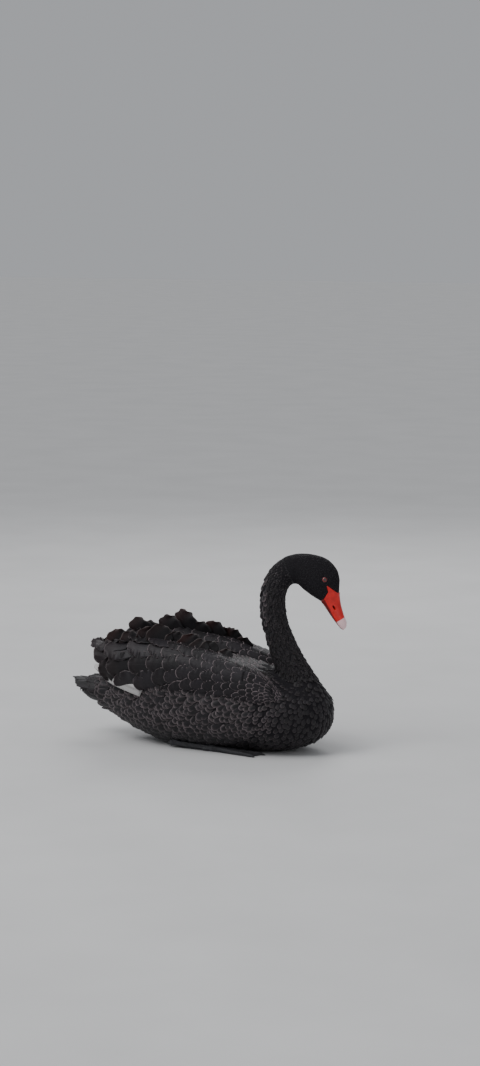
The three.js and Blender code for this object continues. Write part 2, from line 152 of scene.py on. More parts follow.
def middle_points():
    """The middle line in metres in the shared frame, with its directions towards the tail."""
    rows = spline(MIDDLE_LINE, 12)
    turn = np.radians(rows[:, 2])
    x = NECK_AXIS_X + rows[:, 0] * np.cos(turn)
    points = np.stack([x, rows[:, 0] * np.sin(turn), rows[:, 1]], 1) * MM + np.array(SHIFT)
    return points, unit(np.gradient(points, axis=0))


MIDDLE, MIDDLE_RUN = middle_points()


def nearest_row(points, last_row):
    """The row of the middle line nearest to each point, looking only as far as a given row."""
    line = MIDDLE[: int(last_row * 12) + 1]
    rows = np.empty(len(points), int)
    gaps = np.empty(len(points))
    for start in range(0, len(points), 4000):
        part = points[start : start + 4000]
        far = np.linalg.norm(part[:, None] - line[None], axis=2)
        rows[start : start + 4000] = far.argmin(1)
        gaps[start : start + 4000] = far.min(1)
    return rows, gaps


def wing_stations(x):
    """Middle, half width and half height of the folded wing at places along it, in metres."""
    table = np.array(WING_STATIONS, float)[::-1] * MM
    return [np.interp(x, table[:, 0], table[:, column]) for column in range(1, 5)]


def on_wing(x, angle, side):
    """Points and outward directions on the folded wing, by x and the angle round it, 90 on the ridge."""
    out, middle, half_width, half_height = wing_stations(x)
    c, s = np.cos(np.radians(angle)), np.sin(np.radians(angle))
    points = np.stack([x + SHIFT.x, side * (out + half_width * c), middle + half_height * s], -1)
    outward = unit(np.stack([np.zeros_like(c), side * c / half_width, s / half_height], -1))
    return points, outward


def in_wing(points, margin):
    """Which points lie inside a folded wing by more than a margin."""
    out, middle, half_width, half_height = wing_stations(points[:, 0] - SHIFT.x)
    across = (np.abs(points[:, 1]) - out) / np.maximum(half_width - margin, 1e-4)
    upward = (points[:, 2] - middle) / np.maximum(half_height - margin, 1e-4)
    return (across**2 + upward**2 < 1) & (half_width > margin)


def on_bill(points, margin=0.0):
    """Which points lie on the bare skin of the bill and lores, as seen from the side."""
    turn = math.radians(HEAD_TURN)
    place = (points - np.array(SHIFT)) / MM
    ahead = (place[:, 0] - NECK_AXIS_X) * math.cos(turn) + place[:, 1] * math.sin(turn) - margin
    height = place[:, 2] + margin
    inside = np.zeros(len(points), bool)
    for (x0, z0), (x1, z1) in zip(BILL_EDGE, BILL_EDGE[1:] + BILL_EDGE[:1]):
        if z0 != z1:
            crossed = (z0 > height) != (z1 > height)
            inside ^= crossed & (ahead < x0 + (height - z0) / (z1 - z0) * (x1 - x0))
    return inside & (ahead > 60)


def new_object(name, mesh, material, replaced=()):
    """A finished piece in the scene that rides on the bird."""
    made = bpy.data.objects.new(name, mesh)
    bpy.context.scene.collection.objects.link(made)
    mesh.materials.clear()
    mesh.materials.append(material)
    mesh.polygons.foreach_set("use_smooth", np.ones(len(mesh.polygons), bool))
    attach(made, "root")
    if replaced:
        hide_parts(*replaced)
    return made


def evaluated(mesh, modifiers):
    """A mesh with modifiers, each a kind and its settings, applied in order."""
    holder = bpy.data.objects.new("holder", mesh)
    bpy.context.scene.collection.objects.link(holder)
    for kind, settings in modifiers:
        modifier = holder.modifiers.new(kind, kind)
        for key, value in settings.items():
            setattr(modifier, key, value)
    made = bpy.data.meshes.new_from_object(holder.evaluated_get(bpy.context.evaluated_depsgraph_get()))
    bpy.data.objects.remove(holder)
    return made


def joined_nodes(names):
    """One mesh from copies of several solids."""
    bm = bmesh.new()
    for name in names:
        bm.from_mesh(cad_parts[name].data)
    bmesh.ops.remove_doubles(bm, verts=bm.verts, dist=1e-6)
    mesh = bpy.data.meshes.new("joined")
    bm.to_mesh(mesh)
    bm.free()
    return mesh


def vertex_array(mesh, kind="co"):
    """The mesh's points or point normals as an array."""
    source = mesh.vertices if kind == "co" else mesh.vertex_normals
    values = np.empty(len(mesh.vertices) * 3, np.float32)
    source.foreach_get("co" if kind == "co" else "vector", values)
    return values.reshape(-1, 3).astype(float)


def put_uv(mesh, name, per_corner):
    """A UV map from one pair of numbers for each face corner."""
    layer = mesh.uv_layers.new(name=name)
    layer.data.foreach_set("uv", np.ascontiguousarray(per_corner, np.float32).ravel())


# Shared effects


def group(name, inputs, outputs):
    """An empty shader node group with named sockets, as (tree, its input node, its output node)."""
    tree = bpy.data.node_groups.new(name, "ShaderNodeTree")
    for label, kind, default in inputs:
        socket = tree.interface.new_socket(label, in_out="INPUT", socket_type=kind)
        if default is not None:
            socket.default_value = default
    for label, kind in outputs:
        tree.interface.new_socket(label, in_out="OUTPUT", socket_type=kind)
    return tree, tree.nodes.new("NodeGroupInput"), tree.nodes.new("NodeGroupOutput")


def add_node(tree, kind, **settings):
    """A node with its settings; a key that names an input socket sets that socket's value."""
    node = tree.nodes.new(kind)
    for key, value in settings.items():
        if key in node.inputs:
            node.inputs[key].default_value = value
        else:
            setattr(node, key, value)
    return node


def ramp(node, stops):
    """Sets a colour ramp's stops, each a place and a grey value or a colour."""
    elements = node.color_ramp.elements
    while len(elements) > len(stops):
        elements.remove(elements[-1])
    while len(elements) < len(stops):
        elements.new(1.0)
    for element, (place, value) in zip(elements, stops):
        element.position = place
        element.color = (value, value, value, 1) if isinstance(value, (int, float)) else (*value, 1)
    return node


def math_node(tree, operation, first, second):
    """A two-number sum whose terms are sockets or plain numbers."""
    node = add_node(tree, "ShaderNodeMath", operation=operation)
    for index, value in enumerate((first, second)):
        if isinstance(value, (int, float)):
            node.inputs[index].default_value = value
        else:
            tree.links.new(value, node.inputs[index])
    return node.outputs[0]


def vane_group():
    """Colour and relief of a feather vane from its stored marks: rim, tone, fringe and warmth; on the neck
    the pale fringe is also a painted highlight.
    """
    inputs = [
        ("Vane", "NodeSocketColor", (0.012, 0.011, 0.013, 1)),
        ("Fringe", "NodeSocketColor", (0.3, 0.24, 0.25, 1)),
        ("Warm", "NodeSocketColor", (0.09, 0.018, 0.012, 1)),
        ("Barb Depth", "NodeSocketFloat", 0.4),
    ]
    outputs = [("Color", "NodeSocketColor"), ("Roughness", "NodeSocketFloat"), ("Height", "NodeSocketFloat")]
    tree, entry, leave = group("Feather Vane", inputs, outputs)
    link = tree.links.new
    marks = add_node(tree, "ShaderNodeAttribute", attribute_name="marks")
    parts = add_node(tree, "ShaderNodeSeparateColor")
    link(marks.outputs["Color"], parts.inputs[0])
    rim, tone, fringe = parts.outputs
    vane_map = add_node(tree, "ShaderNodeUVMap", uv_map="Vane")
    split = add_node(tree, "ShaderNodeSeparateXYZ")
    link(vane_map.outputs[0], split.inputs[0])
    aside = math_node(tree, "ABSOLUTE", split.outputs["X"], 0)
    slant = math_node(tree, "MULTIPLY", aside, 0.7)
    lean = math_node(tree, "SUBTRACT", split.outputs["Y"], slant)
    line = add_node(tree, "ShaderNodeCombineXYZ")
    link(lean, line.inputs["Y"])
    link(math_node(tree, "MULTIPLY", split.outputs["X"], 0.12), line.inputs["X"])
    barbs = add_node(tree, "ShaderNodeTexNoise", Scale=11.0, Detail=3.0, Roughness=0.65)
    link(line.outputs[0], barbs.inputs["Vector"])
    shaft = ramp(add_node(tree, "ShaderNodeValToRGB"), [(0.0, 1.0), (0.035, 0.0)])
    link(aside, shaft.inputs[0])
    # Ragged edge of the fringe: barbs push its inner limit in and out.
    ragged = math_node(tree, "MULTIPLY", math_node(tree, "SUBTRACT", barbs.outputs["Fac"], 0.5), 0.5)
    edge = ramp(add_node(tree, "ShaderNodeValToRGB"), [(0.42, 0.0), (0.78, 0.3), (1.0, 1.0)])
    link(math_node(tree, "ADD", rim, ragged), edge.inputs[0])
    share = math_node(tree, "MULTIPLY", edge.outputs[0], fringe)
    darkness = math_node(tree, "ADD", math_node(tree, "MULTIPLY", tone, 0.9), 0.55)
    streak = math_node(tree, "ADD", math_node(tree, "MULTIPLY", barbs.outputs["Fac"], 0.7), 0.65)
    depth = add_node(tree, "ShaderNodeVectorMath", operation="SCALE")
    link(entry.outputs["Vane"], depth.inputs[0])
    link(math_node(tree, "MULTIPLY", darkness, streak), depth.inputs["Scale"])
    warmed = add_node(tree, "ShaderNodeMix", data_type="RGBA")
    link(marks.outputs["Alpha"], warmed.inputs[0])
    link(depth.outputs[0], warmed.inputs[6])
    link(entry.outputs["Warm"], warmed.inputs[7])
    fringed = add_node(tree, "ShaderNodeMix", data_type="RGBA")
    link(share, fringed.inputs[0])
    link(warmed.outputs[2], fringed.inputs[6])
    link(entry.outputs["Fringe"], fringed.inputs[7])
    link(fringed.outputs[2], leave.inputs["Color"])
    link(math_node(tree, "ADD", math_node(tree, "MULTIPLY", share, 0.2), 0.5), leave.inputs["Roughness"])
    barb_relief = math_node(tree, "MULTIPLY", barbs.outputs["Fac"], entry.outputs["Barb Depth"])
    shaft_relief = math_node(tree, "MULTIPLY", shaft.outputs[0], 0.3)
    link(math_node(tree, "ADD", barb_relief, shaft_relief), leave.inputs["Height"])


def skin_grain_group():
    """Fine pores and blotches from a piece's own coordinates."""
    tree, entry, leave = group("Skin Grain", [("Scale", "NodeSocketFloat", 900.0)],
                               [("Grain", "NodeSocketFloat"), ("Blotch", "NodeSocketFloat")])
    place = add_node(tree, "ShaderNodeTexCoord")
    fine = add_node(tree, "ShaderNodeTexNoise", Detail=4.0)
    broad = add_node(tree, "ShaderNodeTexNoise", Detail=3.0)
    tree.links.new(place.outputs["Object"], fine.inputs["Vector"])
    tree.links.new(place.outputs["Object"], broad.inputs["Vector"])
    tree.links.new(entry.outputs["Scale"], fine.inputs["Scale"])
    tree.links.new(math_node(tree, "MULTIPLY", entry.outputs["Scale"], 0.12), broad.inputs["Scale"])
    tree.links.new(fine.outputs["Fac"], leave.inputs["Grain"])
    tree.links.new(broad.outputs["Fac"], leave.inputs["Blotch"])


def new_material(name, **sockets):
    """A material with its Principled shader's plain values set, as (material, tree, shader)."""
    material = bpy.data.materials.new(name)
    material.use_nodes = True
    tree = material.node_tree
    shader = tree.nodes["Principled BSDF"]
    for key, value in sockets.items():
        shader.inputs[key.replace("_", " ")].default_value = value
    return material, tree, shader


def add_group(tree, name, **values):
    """A placed copy of a shared effect with its own values."""
    node = add_node(tree, "ShaderNodeGroup", node_tree=bpy.data.node_groups[name])
    for key, value in values.items():
        node.inputs[key.replace("_", " ")].default_value = value
    return node


def add_bump(tree, shader, height, distance, strength=1.0):
    """Relief on a shader's normal."""
    bump = add_node(tree, "ShaderNodeBump", Strength=strength, Distance=distance)
    tree.links.new(height, bump.inputs["Height"])
    tree.links.new(bump.outputs[0], shader.inputs["Normal"])


def feather_material(name, vane, fringe, warm, barb_depth=0.4):
    """A feather finish in given colours."""
    _, tree, shader = new_material(name, Sheen_Weight=0.04, Sheen_Roughness=0.5, Specular_IOR_Level=0.28)
    effect = add_group(tree, "Feather Vane", Vane=(*vane, 1), Fringe=(*fringe, 1), Warm=(*warm, 1),
                       Barb_Depth=barb_depth)
    tree.links.new(effect.outputs["Color"], shader.inputs["Base Color"])
    tree.links.new(effect.outputs["Roughness"], shader.inputs["Roughness"])
    add_bump(tree, shader, effect.outputs["Height"], 0.0006)


def object_axis(tree, origin, direction, reach):
    """How far a point lies along a direction from an origin, 0 to 1 over a reach, in object coordinates."""
    place = add_node(tree, "ShaderNodeTexCoord")
    away = add_node(tree, "ShaderNodeVectorMath", operation="SUBTRACT")
    away.inputs[1].default_value = origin
    tree.links.new(place.outputs["Object"], away.inputs[0])
    dot = add_node(tree, "ShaderNodeVectorMath", operation="DOT_PRODUCT")
    dot.inputs[1].default_value = Vector(direction).normalized() / reach
    tree.links.new(away.outputs[0], dot.inputs[0])
    return dot.outputs["Value"]


def spot_distance(tree, spot):
    """Distance to a spot in object coordinates."""
    place = add_node(tree, "ShaderNodeTexCoord")
    away = add_node(tree, "ShaderNodeVectorMath", operation="SUBTRACT")
    away.inputs[1].default_value = spot
    tree.links.new(place.outputs["Object"], away.inputs[0])
    length = add_node(tree, "ShaderNodeVectorMath", operation="LENGTH")
    tree.links.new(away.outputs[0], length.inputs[0])
    return length.outputs["Value"]


# Feathers


def blade_template(steps, columns):
    """A blade of two layers that share their border: marks across, along and layer, and its faces."""
    bm = bmesh.new()
    bmesh.ops.create_grid(bm, x_segments=columns - 1, y_segments=steps - 1, size=1)
    copied = bmesh.ops.duplicate(bm, geom=bm.verts[:] + bm.edges[:] + bm.faces[:])["geom"]
    bmesh.ops.reverse_faces(bm, faces=[part for part in copied if isinstance(part, bmesh.types.BMFace)])
    for part in copied:
        if isinstance(part, bmesh.types.BMVert) and max(abs(part.co.x), abs(part.co.y)) < 0.999:
            part.co.z = -1
    bmesh.ops.remove_doubles(bm, verts=bm.verts, dist=1e-4)
    marks = np.array([vert.co[:] for vert in bm.verts])
    faces = np.array([[vert.index for vert in face.verts] for face in bm.faces])
    bm.free()
    return marks[:, 0], (marks[:, 1] + 1) / 2, marks[:, 2], faces


# A feather's shape where nothing else is said: angles in degrees, thickness, crimp and the reach of the
# fringe in metres, and the rest as shares.
SHAPE_DEFAULTS = {
    "lift": 8.0, "bend": 0.0, "curl": 4.0, "cup": 0.14, "sweep": 0.0, "roll": 0.0, "thick": 0.0007,
    "crimp": 0.0, "crimps": 4.0, "taper": 0.5, "shoulder": 0.5, "tip": 0.5, "roundness": 1.0, "reach": 0.0035,
    "tone": 0.5, "fringe": 0.5, "warm": 0.0,
}


def walked_line(along, side, up, length, values, strides=24):
    """Each feather's middle line and its direction, walked in even strides as it lifts, bends and curls."""
    place = ((np.arange(strides) + 0.5) / strides)[None]
    pitch = np.radians(values["lift"] + values["bend"] * place + values["curl"] * place**2)
    yaw = np.radians(values["sweep"] * place)
    run = unit(np.cos(pitch)[..., None] * along[:, None] + np.sin(pitch)[..., None] * up[:, None]
               + np.sin(yaw)[..., None] * side[:, None])
    walked = np.concatenate([np.zeros((len(along), 1, 3)), np.cumsum(run, 1)], 1)
    return walked * (length / strides)[..., None], run


def feather_mesh(name, steps, columns, root, along, outward, length, width, uv, **shape):
    """One mesh of many feathers.

    Each grows from its root along its direction, is cupped across, round at its end and crimped at its edges,
    and stores its marks, its own vane map and its patch on the unwrapped skin.
    """
    across, place, layer, faces = blade_template(steps, columns)
    across = np.sign(across) * np.abs(across) ** 0.7
    q = 1 - (1 - place) ** 1.4
    number = len(root)
    values = {key: np.broadcast_to(np.asarray(shape.get(key, default), float), (number,))[:, None]
              for key, default in SHAPE_DEFAULTS.items()}
    length = np.broadcast_to(np.asarray(length, float), (number,))[:, None]
    width = np.broadcast_to(np.asarray(width, float), (number,))[:, None]
    along = unit(along)
    side = unit(np.cross(along, outward))
    up = unit(np.cross(side, along))
    roll = np.radians(values["roll"])
    side, up = side * np.cos(roll) + up * np.sin(roll), up * np.cos(roll) - side * np.sin(roll)
    line, run = walked_line(along, side, up, length, values)
    stride = np.clip(q * run.shape[1], 0, run.shape[1] - 1e-6)
    whole = stride.astype(int)
    part = (stride - whole)[None, :, None]
    at = line[:, whole] * (1 - part) + line[:, whole + 1] * part
    heading = run[:, whole]
    rise = unit(np.cross(side[:, None], heading))

    fall = np.clip((q[None] - values["shoulder"]) / (1 - values["shoulder"]), 0, 1)
    opening = np.sin(np.minimum(q[None] / values["shoulder"], 1) * np.pi / 2)
    widening = values["taper"] + (1 - values["taper"]) * opening
    half = width / 2 * widening * np.sqrt(1 - (1 - values["tip"] ** 2) * fall**2)
    edge = np.abs(across[None])
    phase = 2 * np.pi * values["crimps"]
    side_wave = np.sin(phase * q[None] + 7 * values["tone"] + 1.3 * np.sign(across[None]))
    side_wave = side_wave * smoothstep(0.2, 0.6, q)
    end_wave = np.sin(phase * 0.45 * across[None] + 11 * values["tone"]) * fall**3
    wave = edge**2 * side_wave + (1 - edge**2) * end_wave
    cupped = -values["cup"] * across[None] ** 2 * half * 2
    lifted = cupped + values["crimp"] * wave + values["thick"] * layer[None]
    outwards = across[None] * (half + 0.5 * values["crimp"] * side_wave)
    radius = width * 0.52
    arc = radius - np.sqrt(np.maximum(radius**2 - (across[None] * half) ** 2, 0))
    setback = values["roundness"] * arc * fall**2 + 0.5 * values["crimp"] * end_wave * (fall > 0.5)
    points = root[:, None] + at + side[:, None] * outwards[..., None] + rise * lifted[..., None] \
        - heading * setback[..., None]
    # Near the floor the feathers are pressed flatter and stay above it.
    height = points[..., 2]
    points[..., 2] = np.maximum(height, PRESSED * np.exp(np.minimum(height / PRESSED - 1, 0)))

    inset = np.minimum((1 - edge) * half, (1 - q[None]) * length)
    rim = np.clip(1 - inset / values["reach"], 0, 1) * smoothstep(0.15, 0.4, q)[None]
    marks = np.empty((number, len(q), 4))
    marks[..., 0] = rim
    marks[..., 1] = values["tone"]
    marks[..., 2] = values["fringe"]
    marks[..., 3] = values["warm"] * smoothstep(0.45, 0.95, q)[None]

    mesh = bpy.data.meshes.new(name)
    all_faces = (faces[None] + (np.arange(number) * len(q))[:, None, None]).reshape(-1)
    mesh.vertices.add(number * len(q))
    mesh.vertices.foreach_set("co", points.reshape(-1).astype(np.float32))
    mesh.loops.add(len(all_faces))
    mesh.loops.foreach_set("vertex_index", all_faces.astype(np.int32))
    mesh.polygons.add(len(all_faces) // 4)
    mesh.polygons.foreach_set("loop_start", np.arange(0, len(all_faces), 4, dtype=np.int32))
    mesh.update(calc_edges=True)
    stored = mesh.attributes.new("marks", "FLOAT_COLOR", "POINT")
    stored.data.foreach_set("color", marks.reshape(-1).astype(np.float32))
    vane_map = np.stack([across[None] * half, np.broadcast_to(q[None], half.shape) * length], -1) * 100
    vane_map[..., 1] += values["tone"] * 37
    put_uv(mesh, "Vane", vane_map.reshape(-1, 2)[all_faces])
    patch = np.asarray(uv)[:, None] + np.stack([across, place * 2 - 1], 1)[None] * PATCH_SIZE / 2
    put_uv(mesh, "OFBake", patch.reshape(-1, 2)[all_faces])
    mesh.uv_layers["OFBake"].active = True
    return mesh


def skin_unwrap(points):
    """Where points lie on the unwrapped skin: round the middle line, and along it."""
    rows, _ = nearest_row(points, len(MIDDLE_LINE) - 1)
    run = MIDDLE_RUN[rows]
    away = points - MIDDLE[rows]
    left = unit(np.cross(np.array([[0.0, 1.0, 0.0]]), run))
    side = unit(np.cross(run, left))
    angle = np.arctan2((away * side).sum(1), (away * left).sum(1))
    along = (rows + (away * run).sum(1) / 0.004) / len(MIDDLE)
    return np.stack([0.5 + angle / (2 * np.pi) * 0.96, 0.03 + 0.94 * np.clip(along, 0, 1)], 1)


def lie(points, normals):
    """The direction that feathers lie in at points of the skin: down the neck, then back along the body."""
    rows, gap = nearest_row(points, NECK_ROWS)
    neck = smoothstep(0.15, 0.2, points[:, 2]) * (points[:, 0] > SHIFT.x + 0.105) * (gap < 0.07)
    front = smoothstep(SHIFT.x + 0.1, SHIFT.x + 0.19, points[:, 0])[:, None]
    flank = smoothstep(SHIFT.x - 0.24, SHIFT.x - 0.12, points[:, 0])[:, None]
    back = np.array([[-1.0, 0, -0.1]]) * (1 - flank) + np.array([[-1.0, 0, -0.75]]) * flank
    body = (1 - front) * back + front * np.array([[-0.35, 0, -1.0]])
    flow = neck[:, None] * MIDDLE_RUN[rows] + (1 - neck[:, None]) * body
    return unit(flow - normals * (flow * normals).sum(1, keepdims=True))


def surface_bends(flow, points, length):
    """How the skin under each feather turns, in degrees: up where it is hollow, down where it is round."""
    skin = bpy.data.objects["skin"].data
    places, normals = vertex_array(skin), vertex_array(skin, "normal")
    tree = KDTree(len(places))
    for index, place in enumerate(places):
        tree.insert(place, index)
    tree.balance()
    ahead = points + flow * np.asarray(length).reshape(-1, 1) * 0.85
    found = [tree.find(place)[1] for place in ahead]
    return -np.degrees(np.arcsin(np.clip((normals[found] * flow).sum(1), -0.94, 0.94)))


def scattered(mesh, spacing, seed, keep):
    """Roots spread over a mesh about evenly, at least a spacing apart, as points and normals."""
    mesh.calc_loop_triangles()
    corners = np.empty(len(mesh.loop_triangles) * 3, np.int32)
    mesh.loop_triangles.foreach_get("vertices", corners)
    corners = corners.reshape(-1, 3)
    points, normals = vertex_array(mesh), vertex_array(mesh, "normal")
    kept = keep(points[corners].mean(1))
    corners = corners[kept]
    a, b, c = (points[corners[:, k]] for k in range(3))
    area = np.linalg.norm(np.cross(b - a, c - a), axis=1) / 2
    draw = np.random.default_rng(seed)
    number = int(area.sum() / spacing**2 * TRIES)
    chosen = draw.choice(len(corners), number, p=area / area.sum())
    u, v = draw.random(number), draw.random(number)
    over = u + v > 1
    u, v = np.where(over, 1 - u, u)[:, None], np.where(over, 1 - v, v)[:, None]
    tri = corners[chosen]
    spots = points[tri[:, 0]] * (1 - u - v) + points[tri[:, 1]] * u + points[tri[:, 2]] * v
    facing = normals[tri[:, 0]] * (1 - u - v) + normals[tri[:, 1]] * u + normals[tri[:, 2]] * v
    taken = {}
    result = []
    cells = np.floor(spots / spacing).astype(int)
    near = [(i, j, k) for i in (-1, 0, 1) for j in (-1, 0, 1) for k in (-1, 0, 1)]
    limit = spacing * spacing
    for index, ((i, j, k), spot) in enumerate(zip(cells.tolist(), spots.tolist())):
        clear = True
        for di, dj, dk in near:
            for other in taken.get((i + di, j + dj, k + dk), ()):
                if (spot[0] - other[0]) ** 2 + (spot[1] - other[1]) ** 2 + (spot[2] - other[2]) ** 2 < limit:
                    clear = False
                    break
            if not clear:
                break
        if clear:
            taken.setdefault((i, j, k), []).append(spot)
            result.append(index)
    return spots[result], unit(facing[result])


def region_coat(name, keep, spacing, length, width, material, steps, columns, seed, **shape):
    """A coat of small feathers over one region of the skin."""
    skin = bpy.data.objects["skin"].data
    roots, normals = scattered(skin, spacing, SEED + seed, keep)
    draw = np.random.default_rng(SEED + 50 + seed)
    number = len(roots)
    tone = draw.random(number)
    flow = lie(roots, normals)
    turn = np.radians(draw.normal(0, shape.pop("stray", 7), number))[:, None]
    flow = flow * np.cos(turn) + np.cross(normals, flow) * np.sin(turn)
    size = 1 + 0.22 * (draw.random(number) - 0.5)
    settings = {key: value(roots, draw) if callable(value) else value for key, value in shape.items()}
    lengths = length(roots) if callable(length) else np.full(number, length)
    widths = width(roots) if callable(width) else width
    mesh = feather_mesh(
        name, steps, columns, roots - normals * ROOT_DEPTH, flow, normals, lengths * size, widths * size,
        skin_unwrap(roots), tone=tone, bend=surface_bends(flow, roots, lengths), **settings)
    new_object(name, mesh, material)


# Regions of the skin


def rows_of(points):
    """The nearest row of the head and neck's middle line to each point, and how far away it is."""
    return nearest_row(points, NECK_ROWS)


def is_head(points):
    """Which points lie on the head and the neck's top."""
    rows, gap = rows_of(points)
    return (rows < HEAD_ROWS * 12) & (gap < 0.06) & (points[:, 2] > 0.3)


def is_neck(points):
    """Which points lie on the neck down to the breast."""
    rows, gap = rows_of(points)
    high = points[:, 2] > 0.165
    return ~is_head(points) & high & (gap < 0.058) & (points[:, 0] > SHIFT.x + 0.112)


def is_velvet(points):
    """Which points of the head have feathers."""
    return is_head(points) & ~on_bill(points, 0.6)


def is_body(points):
    """Which points of the breast, flanks, belly, back and rump have feathers."""
    x = points[:, 0] - SHIFT.x
    bare = under_primaries(points) | (x < STUB_END) | ((points[:, 2] > 0.24) & (x > 0.15))
    return ~is_head(points) & ~is_neck(points) & ~in_wing(points, 0.012) & ~bare


def under_primaries(points):
    """The strip of flank and rump that the white flight feathers lie against."""
    x, height = points[:, 0] - SHIFT.x, points[:, 2]
    low_edge = 0.118 + 0.25 * (-0.132 - x)
    return (x > WHITE_STRIP[0]) & (x < WHITE_STRIP[1]) & (height > low_edge) & (np.abs(points[:, 1]) > 0.045)


class SwanSizes(bpy.types.PropertyGroup):
    """Sizes of the coat."""

    skin_voxel: bpy.props.FloatProperty(
        name="Skin Voxel", description="Fineness of the skin's surface", default=0.0027, unit="LENGTH")
    coat_depth: bpy.props.FloatProperty(
        name="Coat Depth", description="How deep the skin lies under the body's feathers", default=0.003,
        unit="LENGTH")
    velvet_length: bpy.props.FloatProperty(
        name="Velvet Length", description="Length of the head's feathers", default=0.0052, unit="LENGTH")
    neck_length: bpy.props.FloatProperty(
        name="Neck Feather Length", description="Length of the neck's feathers", default=0.0135,
        unit="LENGTH")
    crimp: bpy.props.FloatProperty(
        name="Crimp", description="Height of the waves along a ruffled feather's edge", default=0.0028,
        unit="LENGTH")
    covert_length: bpy.props.FloatProperty(
        name="Covert Length", description="Length of the rearmost wing coverts", default=0.1, unit="LENGTH")
    pupil_radius: bpy.props.FloatProperty(
        name="Pupil Radius", description="Radius of the eye's pupil", default=0.0027, unit="LENGTH")


class SwanColours(bpy.types.PropertyGroup):
    """Colours of the bird."""

    black: bpy.props.FloatVectorProperty(
        name="Black", description="Vane of the body's feathers", default=(0.0085, 0.0073, 0.009),
        subtype="COLOR")
    fringe: bpy.props.FloatVectorProperty(
        name="Fringe", description="Pale fringe of the scalloped feathers", default=(0.31, 0.25, 0.262),
        subtype="COLOR")
    warm: bpy.props.FloatVectorProperty(
        name="Warm Tips", description="Reddish brown of the curled feathers' tips",
        default=(0.05, 0.012, 0.009), subtype="COLOR")
    white: bpy.props.FloatVectorProperty(
        name="White", description="Flight feathers", default=(0.72, 0.7, 0.69), subtype="COLOR")
    bill: bpy.props.FloatVectorProperty(
        name="Bill", description="Red of the bill", default=(0.66, 0.012, 0.008), subtype="COLOR")
    bill_edge: bpy.props.FloatVectorProperty(
        name="Bill Edge", description="Dark red of the lower bill", default=(0.16, 0.008, 0.008),
        subtype="COLOR")
    pale_tip: bpy.props.FloatVectorProperty(
        name="Pale Tip", description="Pink band and nail at the bill's tip", default=(0.88, 0.6, 0.62),
        subtype="COLOR")
    foot: bpy.props.FloatVectorProperty(
        name="Foot", description="Skin of the feet", default=(0.022, 0.022, 0.025), subtype="COLOR")


class SwanOperator:
    """What every maker of pieces shares."""

    bl_options = {"REGISTER", "UNDO"}


class SWAN_OT_skin(SwanOperator, bpy.types.Operator):
    """Make one seamless skin inside the solids of head, neck and body"""

    bl_idname = "swan.skin"
    bl_label = "Skin"

    def execute(self, context):
        sizes = context.scene.swan_sizes
        flesh = ["breast", "torso", "rump", "neck_lower", "neck_middle", "neck_upper", "head"]
        joined = joined_nodes(flesh + ["bill_upper", "bill_lower"])
        bm = bmesh.new()
        bm.from_mesh(joined)
        stub = Matrix.Translation(SHIFT + Vector(STUB_PLACE)) @ Matrix.Rotation(math.radians(10), 4, "Y")
        stub = stub @ Matrix.Diagonal((*STUB_SIZE, 1))
        bmesh.ops.create_uvsphere(bm, u_segments=32, v_segments=20, radius=1, matrix=stub)
        bm.to_mesh(joined)
        bm.free()
        mesh = evaluated(joined, [
            ("REMESH", {"mode": "VOXEL", "voxel_size": sizes.skin_voxel}),
            ("SMOOTH", {"factor": 0.5, "iterations": 6}),
        ])
        points, normals = vertex_array(mesh), vertex_array(mesh, "normal")
        depth = np.where(is_head(points), 0.3, np.where(is_neck(points), 0.75, 1.0)) * sizes.coat_depth
        depth = np.where(on_bill(points, 1.5), BILL_DEPTH, depth)
        depth = np.minimum(depth, np.maximum(points[:, 2], 0.0002))
        points = points - normals * depth[:, None]
        points[:, 2] = np.maximum(points[:, 2], 0.0004)
        mesh.vertices.foreach_set("co", points.astype(np.float32).ravel())
        corners = np.empty(len(mesh.loops), np.int32)
        mesh.loops.foreach_get("vertex_index", corners)
        put_uv(mesh, "OFBake", skin_unwrap(points)[corners])
        new_object("skin", mesh, bpy.data.materials["down_black"], flesh)
        return {"FINISHED"}


